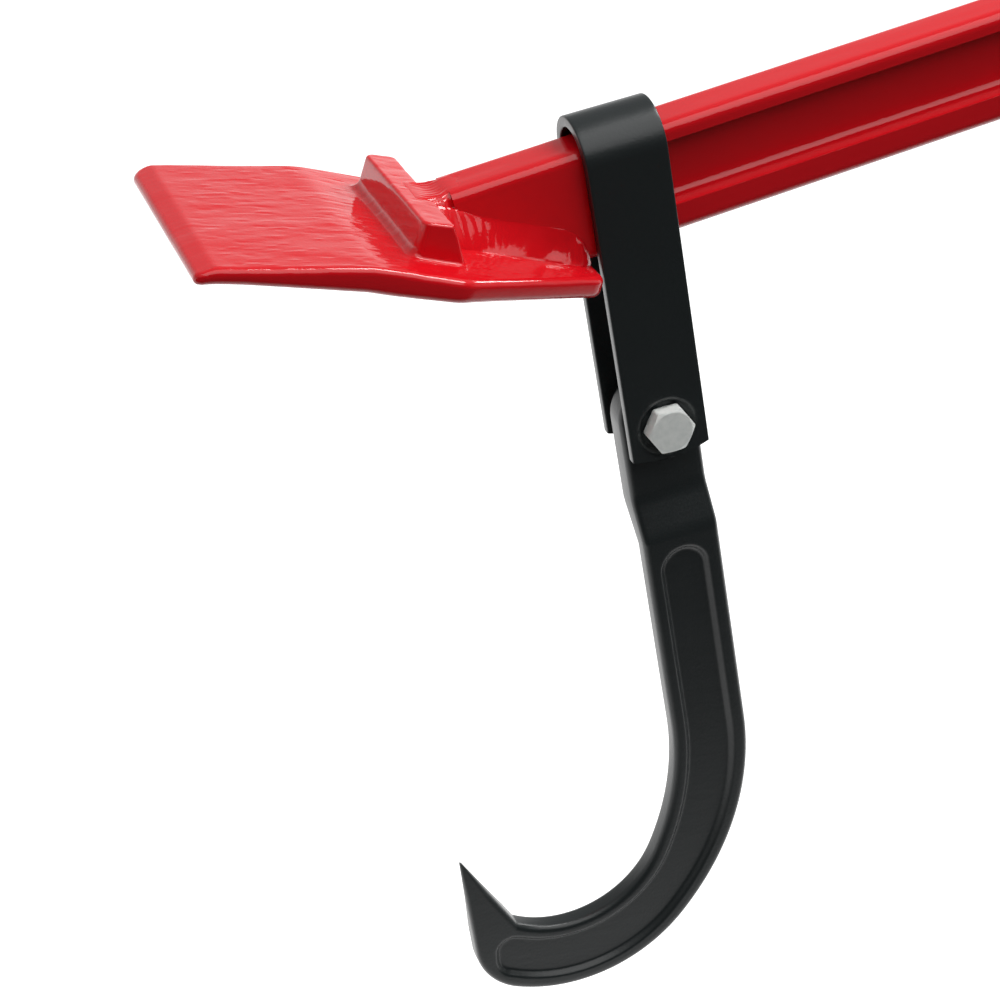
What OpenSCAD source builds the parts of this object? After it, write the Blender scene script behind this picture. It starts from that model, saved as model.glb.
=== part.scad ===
// Felling lever: a flat I-section bar with a forged blade welded to its nose,
// a folded steel strap that slides on the bar, and a forged turning hook
// that swings on a bolt between the strap's legs.
// The part lies as it hangs from the hand: +Z is up, +X runs from the blade
// to the grip, and -Y is the side of the bolt's head.

/* [Lever bar] */
// Length of the bar from its welded nose to its hand end
bar_len = 684; // [560:1:1200]
// Height of the bar's section
bar_h = 41; // [36:0.5:46]
// Width of the bar's section
bar_w = 20; // [18:0.5:24]
// Radius on the four corners of the section
bar_r = 4; // [3:0.5:6]
// Thickness of the web between the two side recesses
web_t = 6; // [4:0.5:10]
// Thickness of the flange above the recess, at the side face
flange_top = 6.6; // [5:0.2:9]
// Thickness of the flange below the recess, at the side face
flange_low = 10.8; // [7:0.2:12]
// Drop of the recess wall from the side face to the web
recess_draft = 2; // [1:0.5:6]

/* [Blade] */
// Width of the blade across its front edge
blade_w = 101.6; // [80:0.2:120]
// Width of the blade's tail end
tail_w = 46; // [40:0.5:60]
// Angle between the bar and the rear part of the blade
seat_angle = 28.4; // [24:0.1:32]
// Angle between the bar and the front part of the blade
front_angle = 19.1; // [14:0.1:23]
// Length of the rear part, from the bar's underside to the bend
rear_len = 91; // [88:0.5:110]
// Length of the front part, from the bend to the front edge
front_len = 59; // [45:0.5:80]
// Thickness of the tail
tail_t = 8; // [6:0.2:10]
// Thickness at the bend
bend_t = 9.6; // [8:0.2:12]
// Thickness behind the bevelled front edge
front_t = 5.8; // [4:0.2:7]
// Length of the bevel on top of the front edge
bevel_len = 6.5; // [3:0.5:10]
// Radius of the front corners in plan
corner_r = 7; // [3:0.5:12]

/* [Ledge] */
// Length of the ledge across the blade, along its top
ledge_w = 67; // [50:1:74]
// Height of the ledge's front edge above the blade
ledge_h = 11; // [8:0.5:14]
// Depth of the ledge's top from front to back
ledge_d = 10.8; // [8:0.2:14]
// Width of the welded groove between ledge and bar
groove_w = 6.9; // [4:0.1:9]

/* [Strap] */
// Width of the strap's flat steel
strap_w = 30; // [26:0.5:36]
// Thickness of the strap's flat steel
strap_t = 4; // [3:0.1:5]
// Distance from the crown's centre down to the bolt
bolt_drop = 105; // [95:1:130]
// Steel below the bolt at the strap's corners
strap_tail = 10.3; // [10:0.1:16]
// Extra depth of the rounded lower edge at mid width
tail_bulge = 2.5; // [1:0.1:6]
// Tilt of the hanging strap against the bar's square
strap_tip = 2.13; // [1:0.01:3]
// Depth of the round dish pressed in for the bolt
dish_depth = 1.8; // [1:0.1:2.4]
// Radius of the dish's floor
dish_r = 9.8; // [9.6:0.1:10.6]

/* [Hook] */
// Width of the shank
hook_w = 30; // [24:0.5:32]
// Thickness of the tang between the strap's legs
tang_t = 12.6; // [11:0.1:13]
// Thickness of the hook's body
hook_t = 9.3; // [7:0.1:11]
// Sideways set of the body towards the bolt's head
joggle = 7.8; // [6:0.1:8]
// Depth below the bolt at which the joggle starts
joggle_top = 31.7; // [28:0.1:36]
// Depth below the bolt at which the joggle ends
joggle_low = 47; // [44:0.1:52]
// Straight length of the outer edge below the bolt
shank_out = 137.5; // [120:0.5:160]
// Straight length of the inner edge below the bolt
shank_in = 130.4; // [115:0.5:150]
// Radius of the outer edge's first, wide curve
out_r1 = 111.8; // [90:0.1:130]
// Sweep of the outer edge's wide curve
out_sweep = 49; // [44:0.5:54]
// Radius of the outer edge's second, tight curve
out_r2 = 63.3; // [58:0.1:68]
// Radius of the inner edge's first, wide curve
in_r1 = 110.7; // [90:0.1:130]
// Sweep of the inner edge's wide curve
in_sweep = 30.4; // [26:0.2:34]
// Radius of the inner edge's second, tight curve
in_r2 = 41; // [37:0.1:45]
// Distance from the tight curve's centre back to the prong's outer edge
prong_back = 44.3; // [40:0.1:50]
// Height of the point above the tight curve's centre
tip_rise = 14.6; // [8:0.1:20]
// Depth of the panel sunk in the hook's face
panel_depth = 2.2; // [1:0.1:3]
// Rim left around the panel on the shank
panel_rim = 5.8; // [4:0.1:8]
// Thickness left at the ground tip
tip_t = 1.2; // [0.8:0.1:4]
// Length over which the tip is ground thin
tip_len = 34; // [20:1:44]

/* [Bolt and nut] */
// Diameter of the bolt
bolt_d = 10; // [8:1:12]
// Width across the flats of head and nut
hex_af = 16; // [15:0.5:17]
// Height of the bolt's head
head_h = 6.4; // [5:0.1:8]
// Height of the nut's hexagon
nut_h = 7.4; // [6:0.1:9]
// Height of the nut's round collar
collar_h = 2.6; // [2:0.1:4]
// Thread that stands out of the nut
bolt_stand = 4; // [1:0.1:6]

/* [Hand grip] */
// Length of the moulded grip
grip_len = 130; // [100:1:160]
// Thickness of the grip's wall
grip_wall = 3.5; // [2:0.5:6]
// Height of the collar above the grip
collar_rise = 4; // [2:0.5:8]
// Number of finger grooves round the grip
groove_n = 9; // [4:1:12]

/* [Fits] */
// Running clearance of hook and strap on the bolt
run_fit = 0.1; // [0.05:0.01:0.1]
// Free space between parts that move past each other
play = 0.3; // [0.25:0.05:0.5]
// Side play of the strap on the bar
side_play = 0.95; // [0.4:0.05:1.2]
// Angle at which the bar rises when the hook hangs plumb
bar_rise = 11.8; // [8:0.1:14]

/* [Hidden] */
$fn = 64;
// One cutting block is this large
big = 400;
// Space between the resting strap and the blade's tail
tail_gap = 1;
// Colours of the parts
red = "#c01822";
black = "#1c1d1f";
zinc = "#cfd3d6";

// The strap's crown: its centre line is the height datum of the bar
crown_r = bar_w / 2 + side_play;
crown_ro = crown_r + strap_t;
// The bar's top lies where the tipped crown touches the rounded corners
bar_top = bar_r - strap_w * sin(strap_tip)
    + sqrt(pow(crown_r - play - bar_r, 2) - pow(bar_w / 2 - bar_r, 2));
bar_low = bar_top - bar_h;
bar_mid = (bar_top + bar_low) / 2;
// The blade's tail runs this far past the bar's underside
tail_over = 2.8;
// Distance along the seat from the bar's underside to the ledge's back
ledge_u = 55;
// Where the bar's underside runs into the blade, and the nose above it
seat_x = -(tail_gap + tail_over * cos(seat_angle) + 1.6);
ledge_back = seat_x - ledge_u * cos(seat_angle);
nose_x = ledge_back + groove_w;
end_x = nose_x + bar_len;
grip_x = end_x - grip_len;
recess_x = strap_w * 0.5;
// Hook, bolt and nut lie symmetric about the middle plane of the bar
dish_in = crown_ro - dish_depth;
boss_in = crown_r - dish_depth;
bore_r = bolt_d / 2 + run_fit;
bolt_end = dish_in + nut_h + collar_h + bolt_stand;

// Points on the plane of the blade's rear part: u runs up towards the
// front from the bar's underside, w stands square on the blade
function rear(u, w) = [seat_x - u * cos(seat_angle) + w * sin(seat_angle),
                       bar_low + u * sin(seat_angle) + w * cos(seat_angle)];
// Points on the plane of the blade's front part, from the bend onwards
function front(v, w) = [rear(rear_len, 0)[0] - v * cos(front_angle) + w * sin(front_angle),
                        rear(rear_len, 0)[1] + v * sin(front_angle) + w * cos(front_angle)];
// Points of an arc about (cx, cz) from angle a to angle b
function arc(cx, cz, r, a, b, n = 16) =
    [for (i = [0 : n]) [cx + r * cos(a + (b - a) * i / n), cz + r * sin(a + (b - a) * i / n)]];
// One corner q between p and s, rounded to radius r
function corner(p, q, s, r, n = 6) =
    let (a = (p - q) / norm(p - q), b = (s - q) / norm(s - q),
         half = acos(max(-1, min(1, a * b))) / 2,
         mid = (a + b) / norm(a + b), c = q + mid * r / sin(half),
         t0 = q + a * r / tan(half), t1 = q + b * r / tan(half),
         a0 = atan2(t0[1] - c[1], t0[0] - c[0]), a1 = atan2(t1[1] - c[1], t1[0] - c[0]),
         turn = a1 - a0 > 180 ? a1 - a0 - 360 : a1 - a0 < -180 ? a1 - a0 + 360 : a1 - a0)
    arc(c[0], c[1], r, a0, a0 + turn, n);
// A polygon with each corner rounded to its own radius, 0 for a sharp one
function rounded(pts, radii) =
    let (n = len(pts))
    [for (i = [0 : n - 1])
        for (q = radii[i] == 0 ? [pts[i]]
            : corner(pts[(i + n - 1) % n], pts[i], pts[(i + 1) % n], radii[i])) q];

// From the bar's own frame to the hanging attitude about the grip's middle
module hang() {
    rotate([0, -bar_rise, 0])
        translate([-(grip_x + grip_len / 2), 0, -bar_mid])
            children();
}
// From the strap's frame to the bar's frame
module tipped() {
    rotate([0, strap_tip, 0]) children();
}
// From the bolt's frame to the strap's frame
module at_bolt() {
    translate([strap_w / 2, 0, -bolt_drop]) children();
}
// An outline in X and Z, made w thick about Y = y
module slab(pts, y, w) {
    translate([0, y + w / 2, 0]) rotate([90, 0, 0]) linear_extrude(w) polygon(pts);
}
// An outline in Y and Z, made from x to x + l
module run(pts, x, l) {
    translate([x, 0, 0]) rotate([90, 0, 90]) linear_extrude(l) polygon(pts);
}
// A piece of the bar's outer shape, grown by g, from x to x + l
module bar_run(g, x, l) {
    w = bar_w / 2 - bar_r;
    h = bar_h / 2 - bar_r;
    r = bar_r + g;
    translate([x, 0, bar_mid]) rotate([90, 0, 90]) linear_extrude(l) {
        square([2 * w + 2 * r, 2 * h], center = true);
        square([2 * w, 2 * h + 2 * r], center = true);
        for (i = [-1, 1], j = [-1, 1]) translate([i * w, j * h]) circle(r);
    }
}

// The forging's side view: tail, bend, thinned and bevelled front
function blade_side() = rounded(
    [rear(-tail_over, 0), rear(rear_len, 0), front(front_len - bevel_len, 0),
     front(front_len - 0.4, -front_t * 0.4), front(front_len - 1.9, -front_t),
     front(front_len * 0.78, -front_t), rear(rear_len - 4, -bend_t),
     rear(rear_len * 0.6, -tail_t), rear(-tail_over, -tail_t)],
    [2.5, 30, 4, 1.2, 1.6, 20, 20, 60, 2.5]);
// The blade seen from above: parallel front, tapered tail
tail_x = rear(-tail_over, 0)[0];
taper_x = rear(58.5, 0)[0];
function blade_plan() = rounded(
    [[front(front_len, 0)[0] - 1.5, -blade_w / 2], [taper_x, -blade_w / 2],
     [tail_x + 3, -tail_w / 2], [tail_x + 3, tail_w / 2],
     [taper_x, blade_w / 2], [front(front_len, 0)[0] - 1.5, blade_w / 2]],
    [corner_r, 14, 6, 6, 14, corner_r]);
// The ledge across the blade, with a filleted foot at its front
ledge_top0 = rear(ledge_u + ledge_d * cos(seat_angle) + 8.6, ledge_h);
function ledge_side() =
    let (f = rear(ledge_u + ledge_d * cos(seat_angle) + 10, 0),
         b = [ledge_back, ledge_top0[1] - ledge_d * 0.26])
    concat([[ledge_back, rear(ledge_u, -2)[1]]],
           [rear(ledge_u + ledge_d + 14, -2)],
           [rear(ledge_u + ledge_d + 11.5, 0)],
           corner(rear(ledge_u + ledge_d + 40, 0), f, ledge_top0, 3.5),
           corner(f, ledge_top0, b, 1.5),
           corner(ledge_top0, b, [ledge_back, bar_low], 1.2));
ledge_flare = 3;

module blade() {
    color(red) hang() {
        intersection() {
            slab(blade_side(), 0, blade_w);
            translate([0, 0, -big / 2]) linear_extrude(big) polygon(blade_plan());
        }
        intersection() {
            slab(ledge_side(), 0, ledge_w + 2 * ledge_flare);
            run(rounded([[-ledge_w / 2 - 1.5 * ledge_flare, bar_low],
                         [ledge_w / 2 + 1.5 * ledge_flare, bar_low],
                         [ledge_w / 2, ledge_top0[1] + 0.5],
                         [-ledge_w / 2, ledge_top0[1] + 0.5]], [0, 0, 2, 2]),
                ledge_back - 40, 60);
        }
    }
}

// One side recess of the bar: sloped walls, and a sloped end by the head
module recess() {
    z1 = bar_top - flange_top;
    z0 = bar_low + flange_low;
    d = (bar_w - web_t) / 2;
    intersection() {
        run([[-bar_w / 2 - 1, z0 - recess_draft / d], [-web_t / 2, z0 + recess_draft],
             [-web_t / 2, z1 - recess_draft], [-bar_w / 2 - 1, z1 + recess_draft / d]],
            recess_x, grip_x - 20 - recess_x);
        translate([0, 0, -big / 2]) linear_extrude(big)
            polygon([[recess_x, -bar_w / 2 - 2], [recess_x + 8, -web_t / 2],
                     [grip_x - 28, -web_t / 2], [grip_x - 20, -bar_w / 2 - 2]]);
    }
}
module lever_bar() {
    color(red) hang() difference() {
        bar_run(0, nose_x, bar_len);
        recess();
        mirror([0, 1, 0]) recess();
        // The nose is cut to lie flat on the blade
        slab([rear(-60, 0), rear(120, 0), rear(120, -90), rear(-60, -90)], 0, bar_w + 2);
    }
}

// Weld metal in the groove between the ledge and the bar's nose
weld_dip = 2.2;
module weld_front() {
    z_l = ledge_top0[1] - ledge_d * 0.26 - 1.4;
    z_b = bar_top - 1.2;
    color(red) hang() slab(concat(
        [rear(ledge_u, 0), [ledge_back, z_l]],
        [[ledge_back + groove_w * 0.35, z_l - weld_dip * 0.8],
         [ledge_back + groove_w * 0.65, z_b - weld_dip * 0.7], [nose_x, z_b]],
        [rear(ledge_u - groove_w / cos(seat_angle), 0)]), 0, bar_w);
}
// Stations of the side bead: place along the seat, leg up the bar's side,
// leg out over the blade
bead = [[0.5, 5, 2.6], [4, 9.5, 4], [13, 10.6, 4.8], [22, 10.4, 4.6], [31, 10, 5.2],
        [38, 10.2, 5.8], [45, 10.6, 6.8], [50, 12.5, 8.4], [56, 14.5, 10]];
// The bead's section as shares of its two legs, with a slightly proud face
bead_face = [[0, 0], [1, 0], [0.84, 0.28], [0.58, 0.58], [0.28, 0.84], [0, 1]];
// One ring of the bead; the last one lies in the plane of the ledge's back
function bead_ring(i) =
    [for (q = bead_face)
        let (w = q[0] * bead[i][1],
             u = i == len(bead) - 1 ? ledge_u + w * tan(seat_angle) : bead[i][0],
             p = rear(u, w))
        [p[0], -bar_w / 2 - q[1] * bead[i][2], p[1]]];
module side_bead() {
    n = len(bead_face);
    m = len(bead);
    polyhedron(
        [for (i = [0 : m - 1]) for (p = bead_ring(i)) p],
        concat([[for (k = [0 : n - 1]) k]],
               [for (i = [0 : m - 2], k = [0 : n - 1])
                   [i * n + k, (i + 1) * n + k, (i + 1) * n + (k + 1) % n]],
               [for (i = [0 : m - 2], k = [0 : n - 1])
                   [i * n + k, (i + 1) * n + (k + 1) % n, i * n + (k + 1) % n]],
               [[for (k = [n - 1 : -1 : 0]) (m - 1) * n + k]]));
}
module weld_near() {
    color(red) hang() side_bead();
}
module weld_far() {
    color(red) hang() mirror([0, 1, 0]) side_bead();
}

// Half of the strap's lower edge is an arc of this radius
tail_r = (pow(strap_w / 2, 2) + pow(tail_bulge, 2)) / (2 * tail_bulge);
leg_low = bolt_drop + strap_tail;
module strap_outline(r) {
    circle(r);
    translate([-r, -leg_low - tail_bulge - 1]) square([2 * r, leg_low + tail_bulge + 1]);
}
// A solid of revolution about the bolt's axis; profile points are (r, y)
module about_bolt(pts) {
    at_bolt() rotate([-90, 0, 0]) rotate_extrude() polygon(pts);
}
module strap() {
    color(black) hang() tipped() difference() {
        union() {
            intersection() {
                rotate([90, 0, 90]) linear_extrude(strap_w) difference() {
                    strap_outline(crown_ro);
                    strap_outline(crown_r);
                }
                // Square sides, and a lower edge that bulges down
                union() {
                    translate([0, -crown_ro - 1, -leg_low])
                        cube([strap_w, 2 * crown_ro + 2, leg_low + crown_ro + 1]);
                    translate([strap_w / 2, 0, -leg_low - tail_bulge + tail_r])
                        rotate([90, 0, 0])
                            cylinder(r = tail_r, h = 2 * crown_ro + 2, center = true, $fn = 128);
                }
            }
            for (m = [0, 1]) mirror([0, m, 0])
                about_bolt([[0, crown_r + 0.05], [dish_r + 0.5, crown_r + 0.05],
                            [dish_r - 0.6, boss_in], [0, boss_in]]);
        }
        for (m = [0, 1]) mirror([0, m, 0])
            about_bolt([[0, dish_in], [dish_r, dish_in],
                        [dish_r + 1.3, crown_ro + 0.5], [0, crown_ro + 0.5]]);
        about_bolt([[0, -big / 8], [bore_r, -big / 8], [bore_r, big / 8], [0, big / 8]]);
    }
}

// The hook's outer and inner edges as chains of tangent arcs, moved in by d
function out_c2() = [hook_w / 2 - out_r1 + (out_r1 - out_r2) * cos(out_sweep),
                     -shank_out - (out_r1 - out_r2) * sin(out_sweep)];
function in_c2() = [-hook_w / 2 - in_r1 + (in_r1 - in_r2) * cos(in_sweep),
                    -shank_in - (in_r1 - in_r2) * sin(in_sweep)];
function out_edge(d, stop) = concat(
    arc(hook_w / 2 - out_r1, -shank_out, out_r1 - d, 0, -out_sweep, 14),
    arc(out_c2()[0], out_c2()[1], out_r2 - d, -out_sweep - 3, stop, 22));
function in_edge(d, stop) = concat(
    arc(in_c2()[0], in_c2()[1], in_r2 + d, stop, -in_sweep - 3, 20),
    arc(-hook_w / 2 - in_r1, -shank_in, in_r1 + d, -in_sweep, 0, 10));
// The prong rises from the curve's end to a point
prong_x = out_c2()[0] - prong_back;
prong_turn = 118;
throat_turn = 128;
tip_lean = 0.8;
tip = [prong_x + tip_lean, out_c2()[1] + tip_rise];
prong_foot = out_c2() + out_r2 * [cos(prong_turn), -sin(prong_turn)];
heel_r = hook_w * 0.87;
prong_heel = [prong_x, prong_foot[1] + (prong_foot[0] - prong_x) * tan(prong_turn - 90)];
hook_outline = concat(
    arc(0, 0, hook_w / 2, 180, 0, 24),
    out_edge(0, -prong_turn),
    corner(prong_foot, prong_heel, tip, heel_r, 10),
    [tip, tip + [tip_t * 0.75, -tip_t * 0.5]],
    in_edge(0, -throat_turn));
// The hook seen from its edge: straight tang, joggle, set-over body
body_y0 = -joggle - hook_t / 2;
body_y1 = body_y0 + hook_t;
hook_side = [[-tang_t / 2, hook_w / 2 + 1], [-tang_t / 2, -joggle_top],
             [body_y0, -joggle_low], [body_y0, -big], [body_y1, -big],
             [body_y1, -joggle_low - 3], [tang_t / 2, -joggle_top - 3], [tang_t / 2, hook_w / 2 + 1]];
// The panel sunk in the near face follows the same arcs inside a rim
panel_top = -joggle_low - panel_rim;
panel_in = panel_rim - 1;
// It ends where the edges have turned this far, with a slanting lower end
panel_out = 114;
panel_inn = 122;
panel_low = out_c2()[1] - (out_r2 - panel_rim - hook_w / 2);
panel_end = [[prong_x + panel_rim + panel_depth, panel_low],
             [prong_x + panel_rim + panel_depth + tip_lean * 2, panel_low + 0.6 * hook_w]];
// Nearly half a turn closes its top
panel_r = (hook_w - panel_in - panel_rim) / 2 - 0.1;
panel = concat(
    corner([-hook_w / 2 + panel_in, -shank_in], [-hook_w / 2 + panel_in, panel_top],
           [hook_w / 2 - panel_rim, panel_top], panel_r, 12),
    corner([-hook_w / 2 + panel_in, panel_top], [hook_w / 2 - panel_rim, panel_top],
           [hook_w / 2 - panel_rim, -shank_out], panel_r, 12),
    out_edge(panel_rim, -panel_out),
    corner(out_c2() + (out_r2 - panel_rim) * [cos(panel_out), -sin(panel_out)],
           panel_end[0], panel_end[1], hook_w * 0.27, 8),
    corner(panel_end[0], panel_end[1],
           in_c2() + (in_r2 + panel_in) * [cos(panel_inn), -sin(panel_inn)], hook_w / 6, 8),
    in_edge(panel_in, -panel_inn));
module hook() {
    color(black) hang() tipped() at_bolt() difference() {
        intersection() {
            slab(hook_outline, 0, 2 * (joggle + hook_t));
            run(hook_side, -big / 2, big);
        }
        slab(panel, body_y0, 2 * panel_depth);
        rotate([90, 0, 0]) cylinder(r = bore_r, h = 2 * tang_t, center = true);
        // The far side of the prong is ground away towards the point
        translate([tip[0], body_y0 + tip_t, tip[1]]) rotate([atan((hook_t - tip_t) / tip_len), 0, 0])
            translate([-hook_w, 0, -1.5 * tip_len]) cube([2.5 * hook_w, hook_w, 2 * tip_len]);
    }
}

// A hexagon with its corners chamfered on one face, from y = 0 to y = h
module hexagon(h) {
    intersection() {
        rotate([-90, 0, 0]) rotate([0, 0, strap_tip]) cylinder(d = hex_af / cos(30), h = h, $fn = 6);
        rotate([-90, 0, 0]) rotate_extrude()
            polygon([[0, 0], [hex_af * 0.6, 0], [hex_af * 0.6, h - hex_af * 0.06],
                     [hex_af * 0.48, h], [0, h]]);
    }
}
module pivot_bolt() {
    color(zinc) hang() tipped() at_bolt() {
        translate([0, -dish_in, 0]) mirror([0, 1, 0]) hexagon(head_h);
        rotate([-90, 0, 0]) rotate_extrude()
            polygon([[0, -dish_in - 1], [bolt_d / 2, -dish_in - 1], [bolt_d / 2, bolt_end - 1],
                     [bolt_d / 2 - 1, bolt_end], [0, bolt_end]]);
    }
}
module lock_nut() {
    color(zinc) hang() tipped() at_bolt() difference() {
        translate([0, dish_in, 0]) union() {
            hexagon(nut_h);
            rotate([-90, 0, 0]) cylinder(r = hex_af * 0.42, h = nut_h + collar_h);
        }
        rotate([-90, 0, 0]) cylinder(r = bolt_d / 2, h = 3 * bolt_end, center = true);
        translate([0, dish_in + nut_h, 0]) rotate([-90, 0, 0]) {
            cylinder(r = hex_af * 0.36, h = collar_h - 0.8);
            cylinder(r = hex_af * 0.34, h = collar_h + 1);
        }
    }
}
module nut_insert() {
    color("#3a6ea5") hang() tipped() at_bolt()
        translate([0, dish_in + nut_h, 0]) rotate([-90, 0, 0]) difference() {
            cylinder(r = hex_af * 0.36, h = collar_h - 0.8);
            translate([0, 0, -1]) cylinder(r = bolt_d / 2, h = collar_h + 2);
        }
}

// The moulded grip: a sleeve closed over the bar's end, a collar in front
// and a row of shallow finger grooves
module hand_grip() {
    pitch = (grip_len - 34) / groove_n;
    color(black) hang() difference() {
        union() {
            bar_run(grip_wall, grip_x, grip_len + grip_wall);
            bar_run(grip_wall + collar_rise, grip_x, 8);
            bar_run(grip_wall + collar_rise * 0.75, end_x - 10, 10 + grip_wall);
        }
        bar_run(0, grip_x - 1, grip_len + 1);
        for (i = [0 : groove_n - 1]) difference() {
            bar_run(grip_wall + 1, grip_x + 15 + (i + 0.3) * pitch, pitch * 0.4);
            bar_run(grip_wall - 1.2, grip_x, grip_len);
        }
    }
}

blade();
lever_bar();
weld_front();
weld_near();
weld_far();
strap();
hook();
pivot_bolt();
lock_nut();
nut_insert();
hand_grip();
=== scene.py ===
# %% [markdown]
# # A felling lever
# Foresters push the wide red blade into the saw cut, press on the bar and
# tip the tree; the black hook on its sliding strap turns the fallen log.
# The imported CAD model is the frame: it fixes where every part is and what
# moves. This lesson dresses it: each visible part is a smooth surface
# worked out with numpy, in the place that its CAD part holds.

# %% Load the frame
import bmesh
import bpy
import math
import numpy as np
from mathutils import Matrix, Vector


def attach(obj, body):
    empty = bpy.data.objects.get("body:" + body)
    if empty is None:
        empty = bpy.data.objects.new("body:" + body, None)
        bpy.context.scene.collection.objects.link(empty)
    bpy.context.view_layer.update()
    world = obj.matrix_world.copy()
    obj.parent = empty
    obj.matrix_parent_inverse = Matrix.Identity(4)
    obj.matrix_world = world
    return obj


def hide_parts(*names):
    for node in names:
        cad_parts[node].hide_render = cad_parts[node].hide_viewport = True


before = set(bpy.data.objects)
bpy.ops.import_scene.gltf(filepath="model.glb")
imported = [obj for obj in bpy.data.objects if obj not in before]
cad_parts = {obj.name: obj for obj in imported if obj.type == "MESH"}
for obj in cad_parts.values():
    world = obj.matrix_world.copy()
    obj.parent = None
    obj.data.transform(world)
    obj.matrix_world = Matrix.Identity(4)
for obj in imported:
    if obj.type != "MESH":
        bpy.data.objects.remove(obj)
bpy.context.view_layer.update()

# %% [markdown]
# ## Where things lie
# The lever hangs from the hand at its grip, so the bar rises a little towards
# the grip. Every shape below is worked out in the bar's own frame, in
# millimetres, where numbers are easy to read, and turned into the hanging
# attitude at the end. The strap leans a little on the bar, so the strap, the
# bolt and the hook have a frame of their own, and the bolt's frame sits in it.

# %% The three frames
MM = 0.001
RISE = math.radians(11.8)
TIP = math.radians(2.13)
GRIP_MID = np.array([572.4605, 0.0, -14.7475])
BOLT_X, BOLT_DROP = 15.0, 105.0


def turned(points, angle):
    """Turns points about Y: x' = x cos a - z sin a and z' = x sin a + z cos a."""
    x, y, z = np.moveaxis(np.asarray(points, float), -1, 0)
    c, s = math.cos(angle), math.sin(angle)
    return np.stack([x * c - z * s, y, x * s + z * c], -1)


def hang(points):
    """Bar frame in millimetres to the world in metres: move the grip's middle to the origin, then turn by the rise."""
    return turned(np.asarray(points, float) - GRIP_MID, RISE) * MM


def tipped(points):
    """Strap frame to the world: lean by the strap's tip, then hang."""
    return hang(turned(points, -TIP))


def at_bolt(points):
    """Bolt frame to the world: shift to the bolt in the strap's frame, then the strap frame's turn."""
    return tipped(np.asarray(points, float) + [BOLT_X, 0.0, -BOLT_DROP])


print("bolt at", at_bolt([0, 0, 0]).round(4))

# %% [markdown]
# ## From arrays to meshes
# A surface here is an array of points with one row for each station along
# the part and one column for each place round its section. Neighbouring
# points become quads; a closed section joins its last column to its first,
# and each end is closed by one face. Nothing loops over vertices: the face
# list is an index grid, shifted by one row and one column.

# %% Mesh helpers
MERGE, SLIVER, SHARP = 2e-6, 1e-6, math.radians(40)


def grid_faces(rows, cols, caps=True):
    """Quads between neighbouring rows and columns, each row closed; caps closes the first and last rows too."""
    index = np.arange(rows * cols).reshape(rows, cols)
    right = np.roll(index, -1, 1)
    quads = np.stack([index[:-1], index[1:], right[1:], right[:-1]], -1).reshape(-1, 4).tolist()
    if caps:
        quads += [index[0].tolist(), index[-1][::-1].tolist()]
    return quads


def mesh_piece(name, points, body, node, material, caps=True):
    """Builds one piece from rows of points, with its doubles merged and its faces turned outwards."""
    mesh = bpy.data.meshes.new(name)
    mesh.from_pydata(points.reshape(-1, 3).tolist(), [], grid_faces(*points.shape[:2], caps))
    bm = bmesh.new()
    bm.from_mesh(mesh)
    bmesh.ops.remove_doubles(bm, verts=bm.verts, dist=MERGE)
    bmesh.ops.dissolve_degenerate(bm, edges=bm.edges, dist=SLIVER)
    bmesh.ops.recalc_face_normals(bm, faces=bm.faces)
    bm.to_mesh(mesh)
    bm.free()
    mesh.shade_smooth()
    mesh.set_sharp_from_angle(angle=SHARP)
    mesh.materials.append(material)
    piece = bpy.data.objects.new(name, mesh)
    bpy.context.scene.collection.objects.link(piece)
    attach(piece, body)
    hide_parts(node)
    print(name, len(mesh.vertices), "points,", len(mesh.polygons), "faces")
    return piece


print("pieces merge doubles within", MERGE, "m and keep edges over 40 degrees sharp")

# %% Ramps, spacing and random heights
def ramp(x, a, b, soft=0.0):
    """Goes from 0 at a to 1 at b in a straight line whose two bends are rounded over the length soft."""
    x = np.asarray(x, float)
    if soft <= 0:
        return np.clip((x - a) / (b - a), 0, 1)
    return soft * (np.logaddexp(0, (x - a) / soft) - np.logaddexp(0, (x - b) / soft)) / (b - a)


def spaced(stops, steps):
    """Places between the stops, each stretch cut into pieces no longer than its own step."""
    parts = [np.linspace(a, b, max(1, math.ceil(abs(b - a) / s)) + 1)[:-1]
             for a, b, s in zip(stops[:-1], stops[1:], steps)]
    return np.concatenate(parts + [[stops[-1]]])


LATTICE = 64


def lumps(x, y, size_x, size_y, seed):
    """Smooth random heights in -1..1: random values on a lattice, blended between with a smooth step."""
    rng = np.random.default_rng(seed)
    table = rng.uniform(-1, 1, (LATTICE, LATTICE))
    u, v = np.asarray(x) / size_x + LATTICE * 9, np.asarray(y) / size_y + LATTICE * 9
    i, j = np.floor(u).astype(int), np.floor(v).astype(int)
    fu, fv = u - i, v - j
    fu, fv = fu ** 3 * (fu * (6 * fu - 15) + 10), fv ** 3 * (fv * (6 * fv - 15) + 10)
    i, j, i1, j1 = (k % LATTICE for k in (i, j, i + 1, j + 1))
    a, b, c, d = table[i, j], table[i1, j], table[i, j1], table[i1, j1]
    return (a * (1 - fu) + b * fu) * (1 - fv) + (c * (1 - fu) + d * fu) * fv


print("a soft ramp at a quarter:", ramp(0.25, 0, 1, 0.05).round(3))

# %% Outlines
CORNER_STEPS = 16


def arc(cx, cz, r, a, b, n):
    """Points of an arc about (cx, cz) from angle a to angle b, in degrees."""
    t = np.radians(np.linspace(a, b, n + 1))
    return np.stack([cx + r * np.cos(t), cz + r * np.sin(t)], -1)


def along(chain, q):
    """Points at shares q of a chain's length: linear between its points."""
    step = np.r_[0, np.cumsum(np.linalg.norm(np.diff(chain, axis=0), axis=1))]
    return np.stack([np.interp(q * step[-1], step, chain[:, k]) for k in (0, 1)], -1)


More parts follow.
